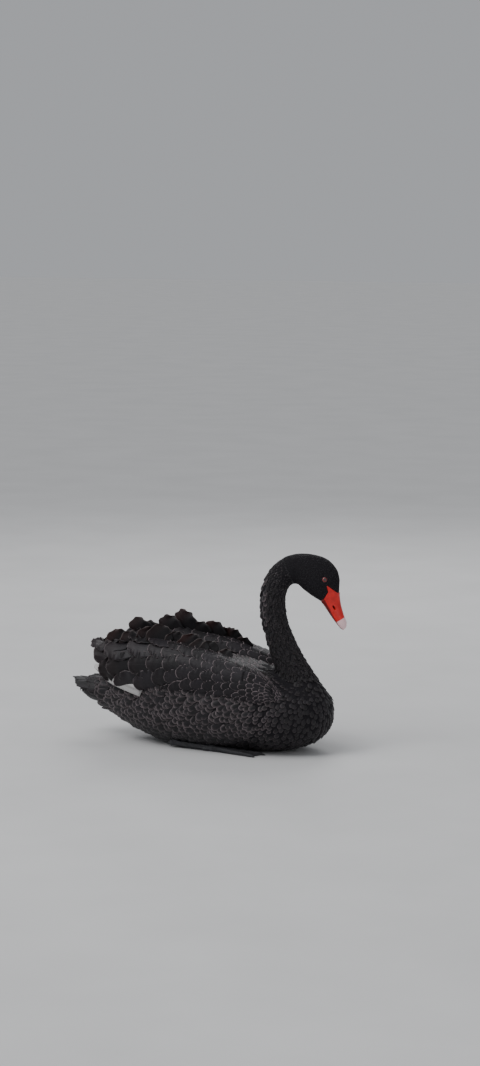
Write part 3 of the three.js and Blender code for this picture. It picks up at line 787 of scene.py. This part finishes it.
class SWAN_OT_materials(SwanOperator, bpy.types.Operator):
    """Make the finishes that the pieces share"""

    bl_idname = "swan.materials"
    bl_label = "Finishes"

    def execute(self, context):
        colours = context.scene.swan_colours
        vane_group()
        skin_grain_group()
        black, fringe, warm = (tuple(c) for c in (colours.black, colours.fringe, colours.warm))
        feather_material("body_feather", black, fringe, warm)
        feather_material("velvet_feather", (0.009, 0.0085, 0.011), (0.035, 0.031, 0.037), warm, 0.25)
        # The neck's pale fringe colour is partly the feathers' edges and partly a painted highlight: it
        # paints the gloss streaks down the neck.
        feather_material("neck_feather_painted_gloss", (0.0095, 0.0083, 0.0098), (0.12, 0.098, 0.105), warm, 0.5)
        feather_material("wing_feather", (0.012, 0.01, 0.0125), fringe, warm, 0.5)
        feather_material("ruffle_feather", (0.0065, 0.0056, 0.0068), (0.2, 0.165, 0.16), warm, 0.5)
        feather_material("white_feather", tuple(colours.white), (0.8, 0.79, 0.78), (0.5, 0.48, 0.46), 0.5)
        self.make_down()
        self.make_foot(colours)
        return {"FINISHED"}

    def make_down(self):
        _, tree, shader = new_material("down_black", Roughness=0.9, Specular_IOR_Level=0.2)
        grain = add_group(tree, "Skin Grain", Scale=420.0)
        tint = ramp(add_node(tree, "ShaderNodeValToRGB"), [
            (0.3, (0.006, 0.0055, 0.007)), (0.75, (0.017, 0.015, 0.018))])
        tree.links.new(grain.outputs["Grain"], tint.inputs[0])
        tree.links.new(tint.outputs[0], shader.inputs["Base Color"])
        add_bump(tree, shader, grain.outputs["Grain"], 0.0008)

    def make_foot(self, colours):
        _, tree, shader = new_material("foot_skin", Specular_IOR_Level=0.45)
        place = add_node(tree, "ShaderNodeTexCoord")
        scales = add_node(tree, "ShaderNodeTexVoronoi", feature="DISTANCE_TO_EDGE", Scale=330.0)
        tree.links.new(place.outputs["Object"], scales.inputs["Vector"])
        plates = ramp(add_node(tree, "ShaderNodeValToRGB"), [(0.0, 0.0), (0.14, 1.0)])
        tree.links.new(scales.outputs["Distance"], plates.inputs[0])
        grain = add_group(tree, "Skin Grain", Scale=600.0)
        foot = tuple(colours.foot)
        tint = ramp(add_node(tree, "ShaderNodeValToRGB"), [
            (0.25, tuple(0.5 * c for c in foot)), (0.8, tuple(2 * c for c in foot))])
        tree.links.new(grain.outputs["Blotch"], tint.inputs[0])
        tree.links.new(tint.outputs[0], shader.inputs["Base Color"])
        rough = math_node(tree, "SUBTRACT", 0.72, math_node(tree, "MULTIPLY", plates.outputs[0], 0.2))
        tree.links.new(rough, shader.inputs["Roughness"])
        add_bump(tree, shader, plates.outputs[0], 0.0007)


class SWAN_OT_coat(SwanOperator, bpy.types.Operator):
    """Cover head, neck and body with small feathers that follow their lie"""

    bl_idname = "swan.coat"
    bl_label = "Coat"

    def execute(self, context):
        sizes = context.scene.swan_sizes
        materials = bpy.data.materials
        region_coat(
            "head_velvet", is_velvet, 0.0019, sizes.velvet_length, 0.0032, materials["velvet_feather"],
            steps=4, columns=3, seed=1, lift=6, curl=0, thick=0.0003, fringe=0.3, stray=9, reach=0.002)
        # On the neck the fringe share and reach also spread the painted highlight streaks.
        region_coat(
            "neck_coat", is_neck, 0.0037, self.neck_length, 0.0064, materials["neck_feather_painted_gloss"],
            steps=6, columns=3, seed=2, lift=lambda p, draw: draw.uniform(7, 16, len(p)), curl=-7,
            thick=0.0005, fringe=lambda p, draw: draw.uniform(0.1, 0.9, len(p)), stray=11, cup=0.26,
            reach=0.0035, roll=lambda p, draw: draw.normal(0, 10, len(p)))
        region_coat(
            "body_coat", is_body, 0.0083, self.body_length, self.body_width, materials["body_feather"],
            steps=6, columns=5, seed=3, lift=lambda p, draw: draw.uniform(6, 11, len(p)), curl=-2, tip=0.6,
            fringe=self.body_fringe, stray=8, cup=0.14, reach=0.008)
        return {"FINISHED"}

    @staticmethod
    def neck_length(points):
        """Short where the neck meets the head, and full from a hand's breadth below."""
        rows, _ = rows_of(points)
        full = bpy.context.scene.swan_sizes.neck_length
        return full * (0.45 + 0.55 * smoothstep(HEAD_ROWS * 12, (HEAD_ROWS + 2.5) * 12, rows))

    @staticmethod
    def body_length(points):
        flank = smoothstep(SHIFT.x + 0.16, SHIFT.x + 0.02, points[:, 0])
        rump = smoothstep(SHIFT.x - 0.12, SHIFT.x - 0.25, points[:, 0])
        return 0.016 + 0.014 * flank + 0.006 * rump

    @staticmethod
    def body_width(points):
        return 0.0115 + 0.0085 * smoothstep(SHIFT.x + 0.16, SHIFT.x + 0.02, points[:, 0])

    @staticmethod
    def body_fringe(points, draw):
        """Pale on the flank and shoulder, faint on the belly, breast and rump."""
        x, height = points[:, 0] - SHIFT.x, points[:, 2]
        flank = smoothstep(0.03, 0.075, height) * smoothstep(-0.3, -0.2, x) * smoothstep(0.2, 0.1, x)
        return draw.uniform(0.5, 0.9, len(points)) * (0.16 + 0.84 * flank)


class SWAN_OT_wings(SwanOperator, bpy.types.Operator):
    """Lay the wings' coverts in tiers and raise the ruffled, curled feathers over them"""

    bl_idname = "swan.wings"
    bl_label = "Wings"

    def execute(self, context):
        sizes = context.scene.swan_sizes
        for side, word in ((1, "left"), (-1, "right")):
            draw = np.random.default_rng(SEED + 10 * side + 20)
            self.make_base(word, side)
            self.make_coverts(word, side, draw, sizes)
            self.make_ruffles(word, side, draw, sizes)
            self.make_primaries(word, side, draw)
        return {"FINISHED"}

    def rooted(self, x, angle, side, length, rise, face, sink):
        """Root, direction, outward direction and bend of feathers on the wing."""
        points, outward = on_wing(x, angle, side)
        behind, _ = on_wing(x - 0.35 * length, angle, side)
        along = unit(behind - points)
        late = unit(on_wing(x - 1.05 * length, angle, side)[0] - on_wing(x - 0.7 * length, angle, side)[0])
        climbs = [np.arcsin(np.clip((run * outward).sum(1), -0.9, 0.9)) for run in (along, late)]
        # In front the feathers follow the wing's own swell, and behind they run straight back over its end.
        bend = np.degrees(smoothstep(-0.06, 0.04, x) * climbs[1] - climbs[0])
        along[:, 2] += np.tan(np.radians(rise))
        if face is None:
            return points - outward * sink, unit(along), outward, bend
        face = np.radians(face)
        facing = np.stack([0 * face, side * np.cos(face), np.sin(face)], 1)
        return points - outward * sink, unit(along), facing, 0 * bend

    def wing_unwrap(self, x, angle):
        return np.stack([0.02 + 0.96 * (x * 1000 + 280) / 460, 0.02 + 0.96 * (angle + 90) / 270], 1)

    def make_base(self, word, side):
        """The wing's own form under its feathers."""
        bm = bmesh.new()
        rings = []
        for x, *_ in WING_STATIONS:
            angles = np.arange(WING_SIDES) * 360 / WING_SIDES
            spots, outward = on_wing(np.full(WING_SIDES, x * MM), angles, side)
            ring = [bm.verts.new(spot) for spot in spots - outward * BASE_DEPTH]
            rings.append([bm.edges.new((ring[k], ring[(k + 1) % WING_SIDES])) for k in range(WING_SIDES)])
        for ahead, behind in zip(rings, rings[1:]):
            bmesh.ops.bridge_loops(bm, edges=ahead + behind)
        bmesh.ops.holes_fill(bm, edges=bm.edges, sides=0)
        bmesh.ops.recalc_face_normals(bm, faces=bm.faces)
        mesh = bpy.data.meshes.new("wing_base_" + word)
        bm.to_mesh(mesh)
        bm.free()
        new_object("wing_base_" + word, mesh, bpy.data.materials["down_black"])

    def make_coverts(self, word, side, draw, sizes):
        """Tiers from the back forwards, each nearer the shoulder smaller and closer than the last."""
        rows = []
        for tier, end in enumerate(TIER_ENDS):
            share = (end - TIER_ENDS[0]) / (TIER_ENDS[-1] - TIER_ENDS[0])
            length = sizes.covert_length * (1 - 0.87 * share**0.85)
            width = max(0.009, 0.068 * (1 - 0.93 * share**1.05))
            x = end * MM + 0.92 * length
            _, _, half_width, half_height = wing_stations(x)
            arc = math.pi * (half_width + half_height) / 2 * 1.2
            count = max(4, round(arc / (width * 0.7)))
            for i in range(count):
                low = (i + (0.5 if tier % 2 else 0.1)) / count
                place = x + 0.034 * low * low * (1 - share) + draw.normal(0, 0.03 * length)
                rows.append((place, 140 - 210 * low, length, width, low, share, tier < LARGE_TIERS))
        rows = np.array(rows)
        for large, name, steps, columns in ((1, "petals_", 24, 13), (0, "coverts_", 9, 7)):
            x, angle, length, width, low, share, _ = rows[rows[:, 6] == large].T
            number = len(x)
            root, along, outward, bend = self.rooted(
                x, angle + draw.normal(0, 2.5, number), side, length, -17 * low * share**0.5, None, 0.003)
            length = length * draw.uniform(0.95, 1.06, number) * (1 - 0.12 * low)
            width = width * draw.uniform(0.94, 1.08, number)
            fringe = 0.45 + 0.5 * smoothstep(0.15, 0.6, share)
            mesh = feather_mesh(
                name + word, steps, columns, root, along, outward, length, width, self.wing_unwrap(x, angle),
                lift=draw.uniform(5, 9, number) * (1 - 0.4 * low) + 2 * share, bend=bend,
                curl=(12 * (1 - low) - 4) * (1 - share), cup=0.12, sweep=draw.normal(0, 5, number),
                thick=0.0008, crimp=sizes.crimp * 1.25 * (1 - share) ** 1.2,
                crimps=draw.uniform(3.0, 4.6, number), tip=0.6, tone=draw.random(number), reach=0.0042,
                fringe=np.clip(fringe + draw.normal(0, 0.1, number), 0.1, 1), warm=0.1 * (1 - share) ** 2,
                taper=0.7, roundness=1.25 + 0.6 * smoothstep(0.3, 0.7, share))
            replaced = ["wing_" + word] if large else []
            new_object(name + word, mesh, bpy.data.materials["wing_feather"], replaced)

    def make_ruffles(self, word, side, draw, sizes):
        """The curled, crimped feathers that stand up along the ridge and over the tail."""
        x, angle, rise, face, length, width, curl = (np.array(column, float) for column in zip(*RUFFLES))
        number = len(x)
        x = x * MM + draw.normal(0, 0.003, number)
        length = length * MM * draw.uniform(1.0, 1.1, number) * (1 if side > 0 else RIGHT_SHARE)
        face = face + draw.normal(0, 4, number)
        root, along, outward, _ = self.rooted(x, angle, side, length, rise, face, 0.014)
        mesh = feather_mesh(
            "ruffles_" + word, 24, 13, root, along, outward, length, 1.08 * width * MM,
            self.wing_unwrap(x, angle), lift=0, curl=curl, sweep=draw.normal(0, 5, number), cup=-0.05,
            thick=0.0009, crimp=0.8 * sizes.crimp, crimps=draw.uniform(1.6, 2.6, number), tip=0.72,
            tone=draw.random(number), fringe=0.7, reach=0.0042, warm=draw.uniform(0.05, 0.45, number),
            taper=0.75, shoulder=0.45)
        new_object("ruffles_" + word, mesh, bpy.data.materials["ruffle_feather"])

    def make_primaries(self, word, side, draw):
        """White flight feathers that leave the flank below the wing and run back along the rump."""
        number = 7
        t = np.linspace(0, 1, number)
        root = np.stack([np.full(number, -0.152), np.full(number, side * 0.098), 0.121 + 0.014 * t], 1)
        along = np.stack([np.full(number, -1.0), np.full(number, side * -0.2), np.full(number, 0.27)], 1)
        outward = np.tile([[0, side * 0.93, 0.36]], (number, 1))
        mesh = feather_mesh(
            "primaries_" + word, 16, 7, root + np.array(SHIFT), along, outward, 0.108 + 0.03 * t, 0.021,
            np.stack([0.1 + 0.8 * t, np.full(number, 0.5)], 1), lift=0, curl=-14, cup=0.08, thick=0.0012,
            tip=0.45, tone=draw.random(number), fringe=0.4, taper=0.9)
        new_object("primary_feathers_" + word, mesh, bpy.data.materials["white_feather"],
                   ["primaries_" + word])


class SWAN_OT_tail(SwanOperator, bpy.types.Operator):
    """Spread the tail feathers and lay their coverts over the roots"""

    bl_idname = "swan.tail"
    bl_label = "Tail"

    def execute(self, context):
        draw = np.random.default_rng(SEED + 5)
        # Each fan: how many feathers, length, root x, height of the middle one and slope.
        fans = [
            (16, 0.099, -0.262, 0.125, -0.01),
            (13, 0.066, -0.262, 0.129, -0.03),
            (11, 0.05, -0.256, 0.134, -0.08),
        ]
        parts = []
        for fan, (count, length, x, height, slope) in enumerate(fans):
            t = np.linspace(-1, 1, count)
            parts.append((
                np.stack([SHIFT.x + x + 0.006 * np.abs(t), 0.025 * t, height - 0.009 * t * t], 1),
                np.stack([np.full(count, -1.0), 0.2 * t, np.full(count, slope)], 1),
                np.stack([0 * t, 0.75 * t, np.ones(count)], 1),
                length - 0.018 * np.abs(t) * (length / 0.1), np.full(count, 0.023 + 0.002 * fan),
                np.full(count, 0.1 + 0.2 * fan),
                np.stack([0.5 + 0.4 * t, np.full(count, 0.2 + 0.3 * fan)], 1),
            ))
        root, along, outward, length, width, fringe, uv = (np.concatenate(column) for column in zip(*parts))
        number = len(root)
        length = length * draw.uniform(0.96, 1.03, number)
        mesh = feather_mesh(
            "tail_feathers", 14, 7, root, along, outward, length, width, uv, lift=draw.uniform(0, 3, number),
            curl=0, cup=0.1, thick=0.0009, tip=0.4, tone=draw.random(number), fringe=fringe, taper=0.85)
        new_object("tail_feathers", mesh, bpy.data.materials["body_feather"], ["tail"])
        return {"FINISHED"}


class SWAN_OT_bill(SwanOperator, bpy.types.Operator):
    """Make the waxy red bill with its nostrils, mouth line and pale tip"""

    bl_idname = "swan.bill"
    bl_label = "Bill"

    def execute(self, context):
        colours = context.scene.swan_colours
        wax = self.make_material("bill_wax", colours.bill, colours.pale_tip)
        dark = self.make_material("bill_edge", colours.bill_edge, colours.bill_edge)
        for name, nodes, material in (("bill_top", ["bill_upper", "bill_nail"], wax),
                                      ("bill_bottom", ["bill_lower"], dark)):
            mesh = evaluated(joined_nodes(nodes), [
                ("REMESH", {"mode": "VOXEL", "voxel_size": 0.0008}),
                ("SMOOTH", {"factor": 0.5, "iterations": 4}),
                ("DISPLACE", {"strength": 0.0005, "mid_level": 0}),
            ])
            new_object(name, mesh, material, nodes)
        return {"FINISHED"}

    def make_material(self, name, colour, pale_tip):
        tip = middle_of("bill_nail")
        turn = math.radians(HEAD_TURN)
        ahead = Vector((math.cos(turn), math.sin(turn), 0))
        material, tree, shader = new_material(name, Roughness=0.38, Coat_Weight=0.15, Coat_Roughness=0.25,
                                              Specular_IOR_Level=0.4)
        grain = add_group(tree, "Skin Grain", Scale=700.0)
        tint = ramp(add_node(tree, "ShaderNodeValToRGB"), [
            (0.3, tuple(0.8 * c for c in colour)), (0.55, tuple(colour)),
            (0.8, tuple(1.2 * c for c in colour))])
        tree.links.new(grain.outputs["Blotch"], tint.inputs[0])
        # The pale band begins square across the bill, a third of its length from the tip.
        run = Vector((ahead.x * 0.5, ahead.y * 0.5, -0.866))
        pale = ramp(add_node(tree, "ShaderNodeValToRGB"), [(0.47, 0.0), (0.53, 1.0)])
        tree.links.new(object_axis(tree, tip - run * 0.03, run, 0.03), pale.inputs[0])
        tipped = add_node(tree, "ShaderNodeMix", data_type="RGBA")
        tree.links.new(pale.outputs[0], tipped.inputs[0])
        tree.links.new(tint.outputs[0], tipped.inputs[6])
        tipped.inputs[7].default_value = (*pale_tip, 1)
        tree.links.new(tipped.outputs[2], shader.inputs["Base Color"])
        add_bump(tree, shader, grain.outputs["Grain"], 0.00025)
        return material


class SWAN_OT_eyes(SwanOperator, bpy.types.Operator):
    """Set the red eyes in their bare rims"""

    bl_idname = "swan.eyes"
    bl_label = "Eyes"

    def execute(self, context):
        rim, tree, shader = new_material("eye_rim", Roughness=0.42, Coat_Weight=0.3)
        grain = add_group(tree, "Skin Grain", Scale=1500.0)
        tint = ramp(add_node(tree, "ShaderNodeValToRGB"), [
            (0.3, (0.2, 0.025, 0.027)), (0.7, (0.4, 0.08, 0.085))])
        tree.links.new(grain.outputs["Grain"], tint.inputs[0])
        tree.links.new(tint.outputs[0], shader.inputs["Base Color"])
        add_bump(tree, shader, grain.outputs["Grain"], 0.0003)
        for word, side in (("left", 1), ("right", -1)):
            self.make_eye(word, side, rim, context.scene.swan_sizes)
        return {"FINISHED"}

    def make_eye(self, word, side, rim, sizes):
        low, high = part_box("eye_" + word)
        centre = middle_of("eye_" + word)
        radius = (high.z - low.z) / 2
        turn = math.radians(HEAD_TURN)
        outward = Vector((-math.sin(turn) * side, math.cos(turn) * side, 0))
        outward = (outward + Vector((math.cos(turn), math.sin(turn), 0)) * 0.22).normalized()
        bm = bmesh.new()
        place = Matrix.Translation(centre)
        bmesh.ops.create_uvsphere(bm, u_segments=48, v_segments=32, radius=radius, matrix=place)
        mesh = bpy.data.meshes.new("eyeball_" + word)
        bm.to_mesh(mesh)
        bm.free()
        finish = self.eye_material(word, centre + outward * radius, sizes)
        new_object("eyeball_" + word, mesh, finish, ["eye_" + word])
        # The rim: a small circle spun round the eye's line of sight.
        bm = bmesh.new()
        turned = outward.to_track_quat("Z", "Y").to_matrix().to_4x4()
        circle = bmesh.ops.create_circle(bm, segments=14, radius=0.00085)["verts"]
        bmesh.ops.rotate(bm, verts=circle, cent=(0, 0, 0), matrix=Matrix.Rotation(math.pi / 2, 3, "X"))
        bmesh.ops.scale(bm, verts=circle, vec=(1.0, 1.0, 1.5))
        bmesh.ops.translate(bm, verts=circle, vec=(radius * 0.9, 0, radius * 0.42))
        bmesh.ops.spin(bm, geom=bm.verts[:] + bm.edges[:], cent=(0, 0, 0), axis=(0, 0, 1), angle=2 * math.pi,
                       steps=40, use_merge=True)
        bmesh.ops.remove_doubles(bm, verts=bm.verts, dist=1e-6)
        bmesh.ops.recalc_face_normals(bm, faces=bm.faces)
        bmesh.ops.transform(bm, verts=bm.verts, matrix=place @ turned)
        mesh = bpy.data.meshes.new("eye_rim_" + word)
        bm.to_mesh(mesh)
        bm.free()
        new_object("eye_rim_" + word, mesh, rim)

    def eye_material(self, word, face, sizes):
        """A wet eye whose pupil and iris are rings round the middle of its face."""
        material, tree, shader = new_material(
            "eye_" + word, Roughness=0.06, Coat_Weight=1.0, Coat_Roughness=0.02)
        rings = ramp(add_node(tree, "ShaderNodeValToRGB"), [
            (0.0, (0.004, 0.002, 0.002)), (0.4, (0.004, 0.002, 0.002)), (0.46, (0.1, 0.007, 0.006)),
            (0.7, (0.26, 0.016, 0.012)), (0.85, (0.06, 0.007, 0.006))])
        scaled = math_node(tree, "DIVIDE", spot_distance(tree, face), sizes.pupil_radius / 0.4)
        tree.links.new(scaled, rings.inputs[0])
        tree.links.new(rings.outputs[0], shader.inputs["Base Color"])
        return material


class SWAN_OT_feet(SwanOperator, bpy.types.Operator):
    """Make the scaly webbed feet tucked beside the keel"""

    bl_idname = "swan.feet"
    bl_label = "Feet"

    def execute(self, context):
        for word in ("left", "right"):
            mesh = evaluated(joined_nodes(["leg_" + word]), [
                ("REMESH", {"mode": "VOXEL", "voxel_size": 0.0011}),
                ("SMOOTH", {"factor": 0.5, "iterations": 5}),
            ])
            points = vertex_array(mesh)
            points[:, 2] = np.maximum(points[:, 2], 0.0)
            mesh.vertices.foreach_set("co", points.astype(np.float32).ravel())
            new_object("foot_" + word, mesh, bpy.data.materials["foot_skin"], ["leg_" + word])
        return {"FINISHED"}


class SWAN_OT_stage(SwanOperator, bpy.types.Operator):
    """Set the pale floor, the soft studio lights and the camera at the photograph's angle"""

    bl_idname = "swan.stage"
    bl_label = "Stage"

    def execute(self, context):
        self.make_camera()
        self.make_floor()
        self.make_lights()
        return {"FINISHED"}

    def make_camera(self):
        data = bpy.data.cameras.new("camera")
        data.lens = LENS
        data.sensor_width = 36
        data.clip_end = 100
        camera = bpy.data.objects.new("camera", data)
        bpy.context.scene.collection.objects.link(camera)
        azimuth, dip = math.radians(CAMERA_AZIMUTH), math.radians(CAMERA_DIP)
        level = math.cos(dip)
        ahead = Vector((-math.sin(azimuth) * level, math.cos(azimuth) * level, -math.sin(dip)))
        camera.location = Vector(CAMERA_PLACE) * MM + SHIFT
        camera.rotation_euler = ahead.to_track_quat("-Z", "Y").to_euler()
        bpy.context.scene.camera = camera

    def make_floor(self):
        bm = bmesh.new()
        bmesh.ops.create_grid(bm, x_segments=2, y_segments=2, size=30)
        mesh = bpy.data.meshes.new("floor")
        bm.to_mesh(mesh)
        bm.free()
        material, tree, shader = new_material("floor", Roughness=0.75)
        grain = add_group(tree, "Skin Grain", Scale=30.0)
        tint = ramp(add_node(tree, "ShaderNodeValToRGB"), [(0.3, 0.58), (0.7, 0.62)])
        tree.links.new(grain.outputs["Blotch"], tint.inputs[0])
        tree.links.new(tint.outputs[0], shader.inputs["Base Color"])
        mesh.materials.append(material)
        made = bpy.data.objects.new("floor", mesh)
        bpy.context.scene.collection.objects.link(made)

    @staticmethod
    def aim(made, place):
        """Sets a lamp at a place, turned to the bird."""
        made.location = place
        made.rotation_euler = (Vector((0.05, 0, 0.18)) - Vector(place)).to_track_quat("-Z", "Y").to_euler()
        bpy.context.scene.collection.objects.link(made)

    def make_lights(self):
        lights = [("key", (-1.6, -2.0, 2.6), 42, 1.6), ("fill", (2.6, -2.4, 1.4), 16, 2.2),
                  ("rim", (-0.6, 2.6, 2.4), 34, 1.8)]
        for name, place, power, size in lights:
            data = bpy.data.lights.new(name, "AREA")
            data.energy = power
            data.size = size
            self.aim(bpy.data.objects.new(name, data), place)
        sun = bpy.data.lights.new("sky", "SUN")
        sun.energy = 0.9
        sun.angle = math.radians(40)
        self.aim(bpy.data.objects.new("sky", sun), (-1.0, -0.8, 3.0))
        world = bpy.data.worlds.new("studio")
        world.use_nodes = True
        world.node_tree.nodes["Background"].inputs["Color"].default_value = (0.78, 0.8, 0.84, 1)
        world.node_tree.nodes["Background"].inputs["Strength"].default_value = 0.5
        bpy.context.scene.world = world


MAKERS = (
    SWAN_OT_materials, SWAN_OT_stage, SWAN_OT_skin, SWAN_OT_coat, SWAN_OT_wings, SWAN_OT_tail, SWAN_OT_bill,
    SWAN_OT_eyes, SWAN_OT_feet,
)


class SWAN_PT_panel(bpy.types.Panel):
    """Lists the makers with their sizes and colours"""

    bl_idname = "SWAN_PT_panel"
    bl_label = "Black Swan"
    bl_space_type = "VIEW_3D"
    bl_region_type = "UI"
    bl_category = "Swan"

    def draw(self, context):
        for settings in (context.scene.swan_sizes, context.scene.swan_colours):
            for key in settings.__annotations__:
                self.layout.prop(settings, key)
        for maker in MAKERS:
            self.layout.operator(maker.bl_idname)


CLASSES = (SwanSizes, SwanColours, *MAKERS, SWAN_PT_panel)


def register():
    for cls in CLASSES:
        bpy.utils.register_class(cls)
    bpy.types.Scene.swan_sizes = bpy.props.PointerProperty(type=SwanSizes)
    bpy.types.Scene.swan_colours = bpy.props.PointerProperty(type=SwanColours)


def unregister():
    del bpy.types.Scene.swan_colours
    del bpy.types.Scene.swan_sizes
    for cls in reversed(CLASSES):
        bpy.utils.unregister_class(cls)


def main():
    register()
    for maker in MAKERS:
        family, name = maker.bl_idname.split(".")
        getattr(getattr(bpy.ops, family), name)()


if __name__ == "__main__":
    main()
